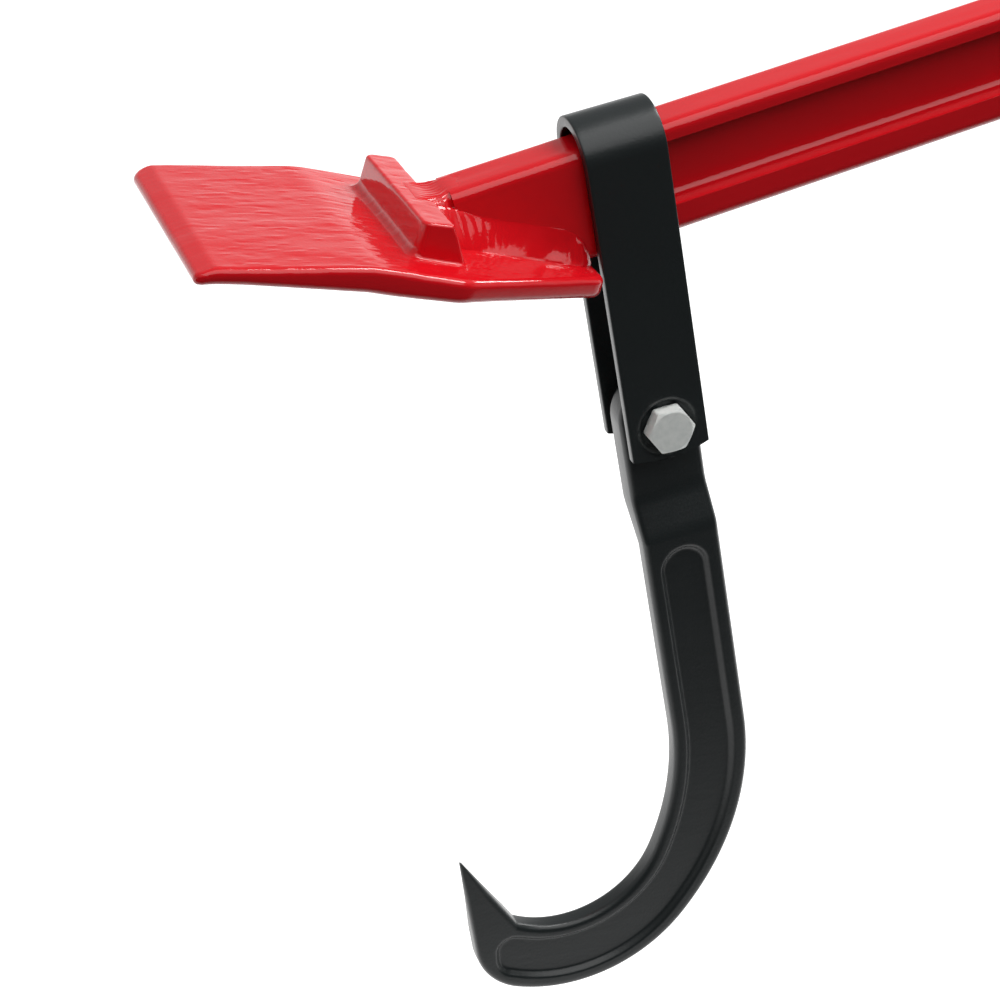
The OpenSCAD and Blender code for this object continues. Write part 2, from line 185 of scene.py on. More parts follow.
def corner_arc(p, q, r, radius, n):
    """A corner q between p and r as an arc: it touches both sides at radius / tan(half the corner's angle)."""
    if radius == 0:
        return q[None]
    a, b = (p - q) / np.linalg.norm(p - q), (r - q) / np.linalg.norm(r - q)
    half = math.acos(np.clip(a @ b, -1, 1)) / 2
    m = (a + b) / np.linalg.norm(a + b)
    c = q + m * radius / math.sin(half)
    u, v = q + a * radius / math.tan(half) - c, q + b * radius / math.tan(half) - c
    w = np.linspace(0, 1, n + 1)[:, None]
    mix = u * (1 - w) + v * w
    return c + mix / np.linalg.norm(mix, axis=1, keepdims=True) * radius


def corner_arcs(points, radii, n=CORNER_STEPS):
    """The rounded corners of a closed outline, one array of points for each corner."""
    points = np.asarray(points, float)
    return [corner_arc(p, q, r, radius, n)
            for p, q, r, radius in zip(np.roll(points, 1, 0), points, np.roll(points, -1, 0), radii)]


def four_sides(points, radii, anchors, counts):
    """A rounded outline cut at the middles of four of its corners; each side holds its own count of even steps."""
    arcs, middle, sides = corner_arcs(points, radii), CORNER_STEPS // 2, []
    for a, b, n in zip(anchors, anchors[1:] + anchors[:1], counts):
        between = [arcs[k % len(arcs)] for k in range(a + 1, b if b > a else b + len(arcs))]
        chain = np.concatenate([arcs[a][middle:], *between, arcs[b][:middle + 1]])
        sides.append(along(chain, np.linspace(0, 1, n, endpoint=False)))
    return np.concatenate(sides)


def outward(loop):
    """Unit normals of a closed loop: each is square to the line between the point's two neighbours."""
    t = np.roll(loop, -1, 0) - np.roll(loop, 1, 0)
    return np.stack([t[:, 1], -t[:, 0]], -1) / np.linalg.norm(t, axis=1, keepdims=True)


print("a rounded corner has", CORNER_STEPS, "steps")

# %% [markdown]
# ## Finishes
# The bar and the blade wear glossy red powder coat; the strap and the hook a
# black one with less gloss. Both have orange peel, the fine waviness that
# powder leaves when it melts, so it is one node group placed in both. The waves
# could be modelled, but they are finer than the picture shows, so a bump is
# enough, and noise on Object coordinates needs no unwrapping.

# %% Helpers for finishes
def material(name):
    """An empty node material with a Principled shader; returns it with its nodes, links and shader."""
    mat = bpy.data.materials.new(name)
    mat.use_nodes = True
    nodes, links = mat.node_tree.nodes, mat.node_tree.links
    return mat, nodes, links, nodes["Principled BSDF"]


def group(name, inputs, outputs):
    """A shader node group with named sockets; returns it with its input and output nodes."""
    tree = bpy.data.node_groups.new(name, "ShaderNodeTree")
    for label, kind, value in inputs:
        tree.interface.new_socket(label, in_out="INPUT", socket_type=kind).default_value = value
    for label, kind in outputs:
        tree.interface.new_socket(label, in_out="OUTPUT", socket_type=kind)
    return tree, tree.nodes.new("NodeGroupInput"), tree.nodes.new("NodeGroupOutput")


BUMP_DEPTH = 0.0001


def dented(n, l, shader, height, strength):
    """Bumps a shader's surface by a height."""
    bump = n.new("ShaderNodeBump")
    bump.inputs["Strength"].default_value, bump.inputs["Distance"].default_value = strength, BUMP_DEPTH
    l.new(height, bump.inputs["Height"])
    l.new(bump.outputs["Normal"], shader.inputs["Normal"])


print("bumps are at most", BUMP_DEPTH, "m deep")

# %% Orange peel
def orange_peel_group():
    """Two sizes of noise: a fine melt pattern and slow flow waves, summed into one height."""
    tree, gin, gout = group("orange_peel", [("Waves", "NodeSocketFloat", 0.5)], [("Height", "NodeSocketFloat")])
    n, l = tree.nodes, tree.links
    coord = n.new("ShaderNodeTexCoord")
    fine, slow = n.new("ShaderNodeTexNoise"), n.new("ShaderNodeTexNoise")
    fine.inputs["Scale"].default_value, slow.inputs["Scale"].default_value = 900.0, 330.0
    for node in (fine, slow):
        node.inputs["Detail"].default_value = 2.0
    l.new(coord.outputs["Object"], fine.inputs["Vector"])
    stretch = n.new("ShaderNodeMapping")
    stretch.inputs["Scale"].default_value = (0.22, 1.0, 1.0)
    l.new(coord.outputs["Object"], stretch.inputs["Vector"])
    l.new(stretch.outputs["Vector"], slow.inputs["Vector"])
    total = n.new("ShaderNodeMath")
    total.operation = "MULTIPLY_ADD"
    l.new(slow.outputs["Fac"], total.inputs[0])
    l.new(gin.outputs["Waves"], total.inputs[1])
    l.new(fine.outputs["Fac"], total.inputs[2])
    l.new(total.outputs[0], gout.inputs["Height"])
    return tree


PEEL = orange_peel_group()
print("node group", PEEL.name)

# %% Powder coats
def coat(name, colour, roughness, bump, waves, spread):
    """Powder coat: orange peel as bump, and a roughness that wanders slowly by spread."""
    mat, n, l, shader = material(name)
    shader.inputs["Base Color"].default_value = (*colour, 1)
    peel = n.new("ShaderNodeGroup")
    peel.node_tree = PEEL
    peel.inputs["Waves"].default_value = waves
    dented(n, l, shader, peel.outputs["Height"], bump)
    coord, noise, to = n.new("ShaderNodeTexCoord"), n.new("ShaderNodeTexNoise"), n.new("ShaderNodeMapRange")
    noise.inputs["Scale"].default_value = 40.0
    to.inputs["To Min"].default_value, to.inputs["To Max"].default_value = roughness - spread, roughness + spread
    l.new(coord.outputs["Object"], noise.inputs["Vector"])
    l.new(noise.outputs["Fac"], to.inputs["Value"])
    l.new(to.outputs["Result"], shader.inputs["Roughness"])
    return mat


RED = coat("red_powder_coat", (0.66, 0.006, 0.012), roughness=0.065, bump=0.3, waves=1.4, spread=0.02)
BLACK = coat("black_powder_coat", (0.0135, 0.0175, 0.0182), roughness=0.33, bump=0.5, waves=0.8, spread=0.05)
print("coats:", RED.name, BLACK.name)

# %% [markdown]
# The bolt and its nut are zinc plated, the nut's ring is nylon and the grip
# rubber. Their looks differ, but each is a tone and a gloss that wander over
# patches, with a fine grain, so they share one node group with other sizes.

# %% Zinc, rubber and nylon
def grain_group():
    """Two noises: broad patches that steer tone and roughness, and a fine grain for the bump."""
    scales = [("Patch Scale", "NodeSocketFloat", 60.0), ("Grain Scale", "NodeSocketFloat", 1500.0)]
    tree, gin, gout = group("patches_and_grain", scales, [("Patches", "NodeSocketFloat"), ("Grain", "NodeSocketFloat")])
    n, l = tree.nodes, tree.links
    coord = n.new("ShaderNodeTexCoord")
    for scale, output in (("Patch Scale", "Patches"), ("Grain Scale", "Grain")):
        noise = n.new("ShaderNodeTexNoise")
        noise.inputs["Detail"].default_value = 3.0
        l.new(coord.outputs["Object"], noise.inputs["Vector"])
        l.new(gin.outputs[scale], noise.inputs["Scale"])
        l.new(noise.outputs["Fac"], gout.inputs[output])
    return tree


GRAIN = grain_group()
PATCH_FROM, PATCH_TO = 0.35, 0.65


def small_part_finish(name, dark, light, rough, metallic, patch, grain, bump):
    """A finish whose colour goes from dark to light and its roughness between two values over patches, with a grain."""
    mat, n, l, shader = material(name)
    shader.inputs["Metallic"].default_value = metallic
    noise = n.new("ShaderNodeGroup")
    noise.node_tree = GRAIN
    noise.inputs["Patch Scale"].default_value, noise.inputs["Grain Scale"].default_value = patch, grain
    tone, gloss = n.new("ShaderNodeValToRGB"), n.new("ShaderNodeMapRange")
    for stop, place, colour in zip(tone.color_ramp.elements, (PATCH_FROM, PATCH_TO), (dark, light)):
        stop.position, stop.color = place, (*colour, 1)
    gloss.inputs["From Min"].default_value, gloss.inputs["From Max"].default_value = PATCH_FROM, PATCH_TO
    gloss.inputs["To Min"].default_value, gloss.inputs["To Max"].default_value = rough
    l.new(noise.outputs["Patches"], tone.inputs["Fac"])
    l.new(noise.outputs["Patches"], gloss.inputs["Value"])
    l.new(tone.outputs["Color"], shader.inputs["Base Color"])
    l.new(gloss.outputs["Result"], shader.inputs["Roughness"])
    dented(n, l, shader, noise.outputs["Grain"], bump)
    return mat


ZINC = small_part_finish("bright_zinc", (0.86, 0.9, 0.87), (0.95, 0.98, 0.95), rough=(0.36, 0.5),
                         metallic=0.15, patch=450, grain=2600, bump=0.25)
RUBBER = small_part_finish("grip_rubber", (0.013, 0.013, 0.014), (0.024, 0.024, 0.025), rough=(0.54, 0.72),
                           metallic=0.0, patch=60, grain=1700, bump=0.5)
NYLON = small_part_finish("nut_insert", (0.045, 0.13, 0.31), (0.075, 0.19, 0.42), rough=(0.36, 0.52),
                          metallic=0.0, patch=400, grain=2200, bump=0.15)
print("small parts:", ZINC.name, RUBBER.name, NYLON.name)

# %% [markdown]
# The CAD parts get the finishes too. The smooth pieces below take their place,
# but a part whose piece is left out while trying things still looks right.

# %% Dress the CAD nodes
dress = {"lever_bar": RED, "blade": RED, "weld_front": RED, "weld_near": RED, "weld_far": RED, "strap": BLACK,
         "hook": BLACK, "pivot_bolt": ZINC, "lock_nut": ZINC, "nut_insert": NYLON, "hand_grip": RUBBER}
for node_name, finish in dress.items():
    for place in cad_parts[node_name].material_slots:
        place.material = finish
print("dressed", len(dress), "CAD nodes")

# %% [markdown]
# ## The blade
# A forging: a thick plate, cranked once, thinned towards its edge, with a
# ledge that bites into the wood. It could be a box pushed into shape with
# modifiers, but then each width and angle is hard to set against a picture.
# Here its top is a height over the cranked plane, from the distance along the
# blade and the place across it, and rings run from the ledge out to the rim.

# %% The blade's side view
SEAT, FRONT = math.radians(28.4), math.radians(19.1)
SEAT_X, BAR_LOW = -5.0631, -35.2475
REAR_LEN, FRONT_LEN, TAIL_OVER = 91.0, 59.0, 2.8
BLADE_LEN = REAR_LEN + FRONT_LEN


def blade_point(s, y, w):
    """The point s along the blade's top, y across it and w above it.

    The slope turns from the seat angle to the front angle at the bend, and its running sum is the top line."""
    fine = np.linspace(-5, BLADE_LEN + 2, 2000)
    angle = SEAT + (FRONT - SEAT) * ramp(fine, REAR_LEN - 3, REAR_LEN + 3, 0.8)
    step = np.diff(fine, prepend=fine[0])
    x = np.cumsum(-np.cos(angle) * step)
    z = np.cumsum(np.sin(angle) * step)
    x0, z0 = np.interp(0, fine, x), np.interp(0, fine, z)
    a = np.interp(s, fine, angle)
    px = SEAT_X + np.interp(s, fine, x) - x0 + w * np.sin(a)
    pz = BAR_LOW + np.interp(s, fine, z) - z0 + w * np.cos(a)
    return np.stack(np.broadcast_arrays(px, y, pz), -1)


BEVEL, BEVEL_DROP = 6.5, 2.3
TAIL_THICK, BEND_THICK, EDGE_THICK = 8.0, 9.6, 5.8


def top_level(s):
    """Height of the top over the cranked plane: level, with a bevel over its last few millimetres."""
    return -BEVEL_DROP * ramp(s, BLADE_LEN - BEVEL, BLADE_LEN, 0.4)


def low_level(s):
    """Height of the underside: the tail's thickness, thicker at the bend and thinned to the front."""
    thicker = (BEND_THICK - TAIL_THICK) * ramp(s, 54, 87, 4)
    thinner = (BEND_THICK - EDGE_THICK) * ramp(s, 87, 137, 4)
    return -(TAIL_THICK + thicker - thinner)


def forging_marks(s, y):
    """Hammered unevenness: long waves along the blade, shorter ones on them, and raised and sunk strokes."""
    raised = np.clip(lumps(s, y + 0.06 * s, 4.3, 1.8, 8), 0, 1) ** 2
    strokes = raised - np.clip(lumps(s, y - 0.08 * s, 5.2, 2.2, 9), 0, 1) ** 2
    calm = 1 - 0.85 * ramp(s, 137, 143)
    return 0.1 * lumps(s, y, 26, 12, 3) + (0.06 * lumps(s + 0.3 * y, y, 9.5, 4.5, 5) + 0.11 * strokes) * calm


print("blade's edge at", hang(blade_point(BLADE_LEN, 0, 0)).round(4))

# %% Outlines of blade and ledge
ACROSS, DOWN = 165, 95
COUNTS = (ACROSS, DOWN, ACROSS, DOWN)
LEDGE_NEAR, LEDGE_FAR, LEDGE_BACK, LEDGE_FRONT = -33.7, 37.3, 54.0, 72.6
LEDGE_TOP, UPPER = 12.8, 12.0


def ledge_outline(w):
    """The ledge's outline at height w: its back is square to the bar, so it leans forward as it rises."""
    back, front = LEDGE_BACK + w * math.tan(SEAT), LEDGE_FRONT - w / 60
    return four_sides([[front, LEDGE_NEAR], [front, LEDGE_FAR], [back, LEDGE_FAR], [back, LEDGE_NEAR]],
                      [3.4, 3.2, 2.6, 1.6], [0, 1, 2, 3], COUNTS)


def spine(s, y0, y1):
    """A loop flattened to a line, which closes a surface in the middle: out along the front, back along the rear."""
    y = np.linspace(y0, y1, ACROSS + 1)
    y = np.concatenate([y[:-1], np.full(DOWN, y1), y[:0:-1], np.full(DOWN, y0)])
    return np.stack([np.full(len(y), s), y], -1)


BLADE_HALF, TAIL_HALF, TAPER_FROM = 50.8, 23, 58.5
blade_corners = [[BLADE_LEN, -BLADE_HALF], [BLADE_LEN, BLADE_HALF], [TAPER_FROM, BLADE_HALF],
                 [-TAIL_OVER, TAIL_HALF], [-TAIL_OVER, -TAIL_HALF], [TAPER_FROM, -BLADE_HALF]]
blade_loop = four_sides(blade_corners, [2.6, 7, 14, 6, 6, 14], [0, 1, 3, 4], COUNTS)
ledge_foot, ledge_high = ledge_outline(0.0), ledge_outline(UPPER)
print("blade outline", len(blade_loop), "points, ledge", (ledge_high.max(0) - ledge_high.min(0)).round(1), "mm")

# %% Rings of the blade
LEDGE_FALL, FALL_FROM, FALL_OVER = 0.7, 60.9, 12.6
layers = []


def layer(loop, height, marks=1.0):
    """One ring of the blade: places (s, y) with their heights, and the share of the forging marks that it takes."""
    s, y = loop[:, 0], loop[:, 1]
    layers.append(np.stack(np.broadcast_arrays(s, y, height + marks * forging_marks(s, y)), -1))


def ledge_at(w):
    """The ledge's wall at heights w: the foot outline blended with the upper one."""
    w = np.broadcast_to(w, len(ledge_foot))[:, None]
    return ledge_foot + (ledge_high - ledge_foot) * w / UPPER


def ledge_level(loop):
    """Height of the ledge's top, which falls a little from back to front."""
    return LEDGE_TOP - LEDGE_FALL * (loop[:, 0] - FALL_FROM) / FALL_OVER


print("ledge top", ledge_level(ledge_high).min().round(2), "to", ledge_level(ledge_high).max().round(2), "mm")

# %% Make the blade
CREST_R, FOOT_R, FRONT_FOOT_MORE, TOP_R, LOW_R = 1.1, 1.2, 2.4, 2.5, 2.8
TOP_ROWS, UNDER_ROWS, UNDER_MARKS = 84, 34, 0.3
side = outward(ledge_foot)
inner = ledge_at(LEDGE_TOP) - CREST_R * outward(ledge_high)
for q in np.linspace(0, 1, 7)[:-1]:
    loop = spine(68.5, LEDGE_NEAR + 8, LEDGE_FAR - 8) * (1 - q) + inner * q
    layer(loop, ledge_level(loop))
for t in np.radians(np.linspace(0, 90, 7)):
    loop = ledge_at(LEDGE_TOP) - CREST_R * (1 - math.sin(t)) * outward(ledge_high)
    layer(loop, ledge_level(loop) - CREST_R * (1 - math.cos(t)))
foot = FOOT_R + FRONT_FOOT_MORE * np.clip(side[:, 0], 0, 1) ** 2
for q in np.linspace(0, 1, 6)[1:]:
    w = (LEDGE_TOP - 2 * CREST_R) * (1 - q) + foot * q
    layer(ledge_at(w), w, 0.2)
for t in np.radians(np.linspace(0, 90, 9))[1:]:
    layer(ledge_at(foot) + (foot * (1 - math.cos(t)))[:, None] * side, foot * (1 - math.sin(t)))
start = ledge_at(foot) + foot[:, None] * side
rim = outward(blade_loop)
thick = (top_level(blade_loop[:, 0]) - low_level(blade_loop[:, 0]))[:, None]
r_top, r_low = np.minimum(TOP_R, thick * 0.42), np.minimum(LOW_R, thick * 0.46)
for q in np.linspace(0, 1, TOP_ROWS)[1:-1]:
    loop = start * (1 - q) + (blade_loop - r_top * rim) * q
    layer(loop, top_level(loop[:, 0]))
for t in np.radians(np.linspace(0, 90, 8)):
    loop = blade_loop - r_top * (1 - math.sin(t)) * rim
    layer(loop, top_level(loop[:, 0]) - r_top[:, 0] * (1 - math.cos(t)))
for t in np.radians(np.linspace(90, 0, 8)):
    loop = blade_loop - r_low * (1 - math.sin(t)) * rim
    layer(loop, low_level(loop[:, 0]) + r_low[:, 0] * (1 - math.cos(t)), UNDER_MARKS)
for q in np.linspace(1, 0, UNDER_ROWS)[1:]:
    loop = spine(74, -18, 18) * (1 - q) + (blade_loop - r_low * rim) * q
    layer(loop, low_level(loop[:, 0]), UNDER_MARKS)
rings = np.stack(layers)
blade = blade_point(rings[..., 0], rings[..., 1], rings[..., 2])
mesh_piece("blade_forging", hang(blade), "lever", "blade", RED, caps=False)

# %% [markdown]
# ## The lever bar
# A hot-rolled flat bar with a long recess in each side, which leaves a web
# between two flanges. A boolean could cut the recess from a box, but leaves
# hard corners to bevel. Here the section is one closed ring of points, and only
# the recess's depth changes along it. The nose is cut along the blade's seat.

# %% The bar's recess and nicks
BAR_TOP, BAR_MID, BAR_HALF, BAR_R = 5.7525, -14.7475, 10.0, 4.0
NOSE_X, GRIP_X, END_X = -46.54, 507.46, 637.46
FLOOR_Z, ROOF_Z = BAR_LOW + 10.8, BAR_TOP - 6.6
RECESS_FROM, RECESS_TO, RECESS_DEEP, FLOOR_FILL = 16.8, GRIP_X - 21.8, 7, 4.2
WALL_SLOPE, END_SLOPE, BLEND = 3.5, 1.125, 0.35


def recess_depth(x, z):
    """Depth of a side recess: the least of a hollow that nears the web, two steep walls and two sloped ends.

    The least of them is blended: minus the log of the summed exponentials of their negatives."""
    hollow = RECESS_DEEP - FLOOR_FILL * np.exp(-np.clip(z - FLOOR_Z, 0, None) / 2.0)
    limits = np.stack(np.broadcast_arrays(hollow, WALL_SLOPE * (z - FLOOR_Z), WALL_SLOPE * (ROOF_Z - z),
                                          END_SLOPE * (x - RECESS_FROM), END_SLOPE * (RECESS_TO - x)))
    least = -BLEND * np.log(np.exp(-np.clip(limits, -20, 20) / BLEND).sum(0))
    return 0.12 * np.logaddexp(0, least / 0.12)


def seat_line(x):
    """Height of the blade's seat under the bar at x, a little inside the blade."""
    return BAR_LOW + (SEAT_X - x) * math.tan(SEAT) - 0.5


def nicks(x, y, places):
    """Small dents from use: each place is x, y, length, width and depth of a smooth hollow."""
    return sum(deep * np.exp(-((x - a) / long) ** 2 - ((y - b) / wide) ** 2) for a, b, long, wide, deep in places)


print("recess", recess_depth(200.0, (FLOOR_Z + ROOF_Z) / 2).round(2), "mm deep at mid height")

# %% Make the bar
NICKS = [(-43.0, 1.5, 1.1, 0.8, 0.7), (-40.6, 2.6, 0.6, 0.5, 0.3)]
FLAT, UNBOUND = 10, -99
x_stops = [NOSE_X, SEAT_X + 3, 14, 27, 330, GRIP_X - 30, GRIP_X - 18, GRIP_X + 2, END_X]
z_stops = [BAR_LOW + BAR_R, FLOOR_Z - 0.7, FLOOR_Z + 3.4, FLOOR_Z + 8, ROOF_Z - 3.4, ROOF_Z + 0.7, BAR_TOP - BAR_R]
x = spaced(x_stops, [0.8, 1.2, 0.5, 2.0, 4.0, 0.6, 3, 60])[:, None]
z = spaced(z_stops, [1.2, 0.2, 0.5, 1.4, 0.2, 0.8])
t = np.radians(np.linspace(0, 90, 9))
low_y, low_z = BAR_HALF - BAR_R + BAR_R * np.sin(t), BAR_LOW + BAR_R * (1 - np.cos(t))
high_y, high_z = low_y[::-1], BAR_TOP - BAR_R * (1 - np.cos(t[::-1]))
half_y = np.concatenate([low_y[:-1], np.full(len(z), BAR_HALF), high_y[1:]])
half_z = np.concatenate([low_z[:-1], z, high_z[1:]])
in_side = (half_z >= z[0]) & (half_z <= z[-1])
depth = np.where(in_side, recess_depth(x, half_z), 0)
flat_y = np.linspace(half_y[-1], -half_y[-1], FLAT + 2)[1:-1]
strip = np.broadcast_to(flat_y, (len(x), FLAT))
ring_y = np.concatenate([depth - half_y, -strip, (half_y - depth)[:, ::-1], strip], 1)
ring_z = np.concatenate([half_z, np.full(FLAT, BAR_TOP), half_z[::-1], np.full(FLAT, BAR_LOW)])
uneven = 0.05 * lumps(x, ring_z * 2 + ring_y * 3, 42, 16, 12) + 0.025 * lumps(x, ring_z * 3 + ring_y * 2, 13, 9, 14)
ring_y = ring_y * (1 + uneven / 10)
ring_z = np.maximum(ring_z + uneven, np.where(x < SEAT_X, seat_line(x), UNBOUND))
pit = nicks(x, ring_y, NICKS)
ring_z = ring_z - np.where(ring_z > BAR_TOP - 1, pit, 0)
bar = np.stack(np.broadcast_arrays(x, ring_y, ring_z), -1)
mesh_piece("rolled_bar", hang(bar), "lever", "lever_bar", RED)

# %% [markdown]
# ## The welds
# Three runs of weld hold the bar: one in the groove behind the ledge and one
# along each side. Molten metal sets in ripples like fish scales, and the thick
# coat softens them. Sculpting would give the same look but not the same result
# twice, so a bead is a section between two toes, carried along the seat, with
# ripples from a sine that lean along the run and die away towards the tail.

# %% The side beads
HIGH_S = [-1.2, -0.3, 1.5, 4, 8, 12, 20, 33, 40, 46, 49.5, 52.5, 54, 57]
BEAD_HIGH = [0.5, 2.6, 5.4, 8.0, 10.0, 10.9, 10.9, 10.6, 10.5, 10.8, 11.5, 12.2, 12.0, 11.2]
WIDE_S = [-1.2, -0.4, 1, 4, 8, 20, 33, 42, 50, 56, 60]
BEAD_WIDE = [0.3, 1.4, 2.8, 4.2, 4.8, 4.6, 4.8, 5.4, 6.6, 9.0, 11.0]
RIPPLE_PITCH, LIFT_SHARE, CORE = 2.6, 0.75, -1.2


def smooth(values, reach):
    """A running mean over reach samples on each side."""
    return np.convolve(np.pad(values, reach, mode="edge"), np.ones(2 * reach + 1) / (2 * reach + 1), "valid")


def ripples(s, q, seed):
    """Height of the ripples at s along a bead and share q round it.

    A scale is the absolute value of a sine whose phase leans along the run. It is strongest near the ledge and fades
    towards the plate; one thicker lump stands near the tail."""
    phase = (s + 2.8 * q + 1.6 * lumps(s, q, 6, 0.6, seed)) / RIPPLE_PITCH
    ripple = np.abs(np.sin(math.pi * phase)) ** 0.8 - 0.6
    strength = 0.05 + 0.46 * ramp(s, 33, 46, 2) + 0.12 * (1 - ramp(s, 5, 12))
    strength = strength * (0.6 + 0.6 * lumps(s, q, 5, 0.3, seed + 1)) * (1 - 0.75 * ramp(q, 0.45, 0.8))
    lift = ripple * strength + 0.45 * lumps(s, q, 7, 0.5, seed + 2)
    lift = lift * np.sin(math.pi * q) ** 1.2 * (1 - ramp(s, 52, 55))
    return lift + 0.9 * np.exp(-((s - 5) / 2.2) ** 2 - ((q - 0.35) / 0.2) ** 2)


def side_bead(sign, seed):
    """Rows along the seat, columns from the toe on the bar to the toe on the blade, closed inside the metal."""
    s = spaced([HIGH_S[0], 3, HIGH_S[-1]], [0.2, 0.3])
    high = smooth(np.interp(s, HIGH_S, BEAD_HIGH), 3)[:, None]
    wide = smooth(np.interp(s, WIDE_S, BEAD_WIDE), 3)[:, None]
    s, q = s[:, None], np.linspace(0, 1, 33)[None, :]
    a = np.radians(90 * q)
    full = 2.1 - 0.6 * ramp(s, 40, 52, 1)
    lift = ripples(s, q, seed) * LIFT_SHARE
    up, out = high * np.cos(a) ** full + lift, wide * np.sin(a) ** full + lift
    core = np.full((len(s), 1), CORE)
    ring_w = np.concatenate([up, core, core, high], 1)
    ring_o = np.concatenate([out, wide, core, core], 1)
    along_s = s + ring_w * math.tan(SEAT) * ramp(s, 40, 56)
    return blade_point(along_s, sign * (BAR_HALF + ring_o), ring_w)


print("side beads run", HIGH_S[-1] - HIGH_S[0], "mm, up to", max(BEAD_HIGH), "mm high")

# %% Make the side beads
for sign, name, seed in ((-1, "near", 21), (1, "far", 31)):
    bead = side_bead(sign, seed)
    mesh_piece("weld_bead_" + name, hang(bead), "lever", "weld_" + name, RED)

# %% Make the front bead
FRONT_X = [-58.6, -57, -55.4, -54, -52.6, -51, -49.5, -48, -46.4, -44.5, -42.5, -40.5]
FRONT_HIGH = [7.9, 7.35, 6.65, 6.05, 5.6, 5.3, 5.25, 5.45, 5.82, 5.9, 5.82, 5.55]
FRONT_HALF, FRONT_PITCH, TUCK = 10.9, 2.2, 0.13
y = spaced([-FRONT_HALF, -5, 5, FRONT_HALF], [0.2, 0.3, 0.2])[:, None]
x = np.linspace(FRONT_X[0], FRONT_X[-1], 84)
level = smooth(np.interp(x, FRONT_X, FRONT_HIGH), 4)[None, :]
x = x[None, :]
beyond = np.clip(np.abs(y) - 6.2, 0, BAR_R)
bar_corner = (BAR_R - np.sqrt(BAR_R ** 2 - beyond ** 2)) * ramp(x, -54.5, -47.5)
level = level - bar_corner - 0.14 * np.clip(np.abs(y) - 7.6, 0, None) ** 2
middle = np.clip(1 - ((x + 51.6) / 6.2) ** 2, 0, 1) ** 1.5
phase = (y - 0.035 * (x + 50) ** 2 + 0.9 * lumps(x, y, 5, 5, 42)) / FRONT_PITCH
ripple = np.abs(np.sin(math.pi * phase)) ** 0.8 - 0.5
level = level + (0.09 + 0.36 * ramp(np.abs(y), 3.5, 7)) * ripple * middle + 0.1 * lumps(x, y, 4, 6, 43) * middle
y = y * (1 - TUCK * ramp(x, -49.5, -47.2))
ring_x, ring_y = (np.concatenate([v, v[:, ::-1]], 1) for v in (x, y))
ring_z = np.concatenate([level, np.broadcast_to(seat_line(x)[:, ::-1], level.shape)], 1)
front = np.stack(np.broadcast_arrays(ring_x, ring_y, ring_z), -1)
mesh_piece("weld_bead_front", hang(front), "lever", "weld_front", RED)

# %% [markdown]
# ## The hook
# A drop forging between the strap's legs: a straight tang with a round head,
# a joggle that sets the body over towards the bolt's head, and a body that
# sweeps round to a ground point. A bevelled curve could make it, but has one
# width, and this body swells and narrows. So its inner and outer edges are
# chains of arcs. Points on both that face the same way are joined by a line,
# which carries one section: a flat bar, rounded edges and a sunk panel.

# %% The hook's edges
HALF_W, OUT_R1, OUT_R2, OUT_SWEEP = 15.0, 111.8, 63.3, 49.0
IN_R1, IN_R2, IN_SWEEP, TURN = 110.7, 41.0, 30.4, 118.0
SHANK_OUT, SHANK_IN = -137.5, -130.4
OUT_C1, IN_C1 = np.array([HALF_W - OUT_R1, SHANK_OUT]), np.array([-HALF_W - IN_R1, SHANK_IN])


def unit(angle):
    """The direction at an angle below the X axis, in degrees."""
    a = np.radians(angle)
    return np.stack([np.cos(a), -np.sin(a)], -1)


OUT_C2 = OUT_C1 + (OUT_R1 - OUT_R2) * unit(OUT_SWEEP)
IN_C2 = IN_C1 + (IN_R1 - IN_R2) * unit(IN_SWEEP)
POINT = np.array([OUT_C2[0] - 43.5, OUT_C2[1] + 14.6])
IN_TURN, HEEL_R, HEEL_LEAN = 128, 26, 31


def outer_edge(turn, rim=0.0):
    """The outer edge where it faces turn, moved in by a rim: a large arc up to its sweep, then a small one."""
    large, small = OUT_C1 + (OUT_R1 - rim) * unit(turn), OUT_C2 + (OUT_R2 - rim) * unit(turn)
    return np.where((turn > OUT_SWEEP)[:, None], small, large)


def inner_edge(turn, rim=0.0):
    """The inner edge in the same way; a rim makes its arcs larger."""
    large, small = IN_C1 + (IN_R1 + rim) * unit(turn), IN_C2 + (IN_R2 + rim) * unit(turn)
    return np.where((turn > IN_SWEEP)[:, None], small, large)


def edge_pairs():
    """Matching points of the inner and outer edges from the head to the point.

    Round the head both lie on its circle, and on the shank at equal shares of its length. On the curve they are the
    points whose edges face the same way, and on the prong they are at equal shares of what is left of each edge."""
    head = np.linspace(3, 90, 16)
    inner = [np.stack([-HALF_W * np.sin(np.radians(head)), HALF_W * np.cos(np.radians(head))], -1)]
    outer = [inner[0] * [-1, 1]]
    q = spaced([0, 0.36, 0.48, 1], [0.02, 0.005, 0.01])[1:, None]
    inner.append([-HALF_W, 0] + q * [0, SHANK_IN])
    outer.append([HALF_W, 0] + q * [0, SHANK_OUT])
    turn = np.linspace(0, TURN, 150)[1:]
    outer.append(outer_edge(turn))
    inner.append(inner_edge(turn))
    left_in = np.concatenate([IN_C2 + IN_R2 * unit(np.linspace(TURN, IN_TURN, 6)), [POINT + [1.0, -0.6]]])
    foot = OUT_C2 + OUT_R2 * unit(TURN)
    heel_x = POINT[0] - 0.8
    heel_z = foot[1] + (foot[0] - heel_x) * math.tan(math.radians(TURN - 90))
    heel = arc(heel_x + HEEL_R, heel_z + HEEL_R * math.tan(math.radians(HEEL_LEAN)), HEEL_R, -TURN, -180, 20)
    left_out = np.concatenate([[foot], heel, [POINT]])
    q = np.linspace(0, 1, 110)[1:]
    inner.append(along(left_in, q))
    outer.append(along(left_out, q))
    return np.concatenate(inner), np.concatenate(outer)


print("hook's point at", at_bolt([POINT[0], 0, POINT[1]]).round(4))

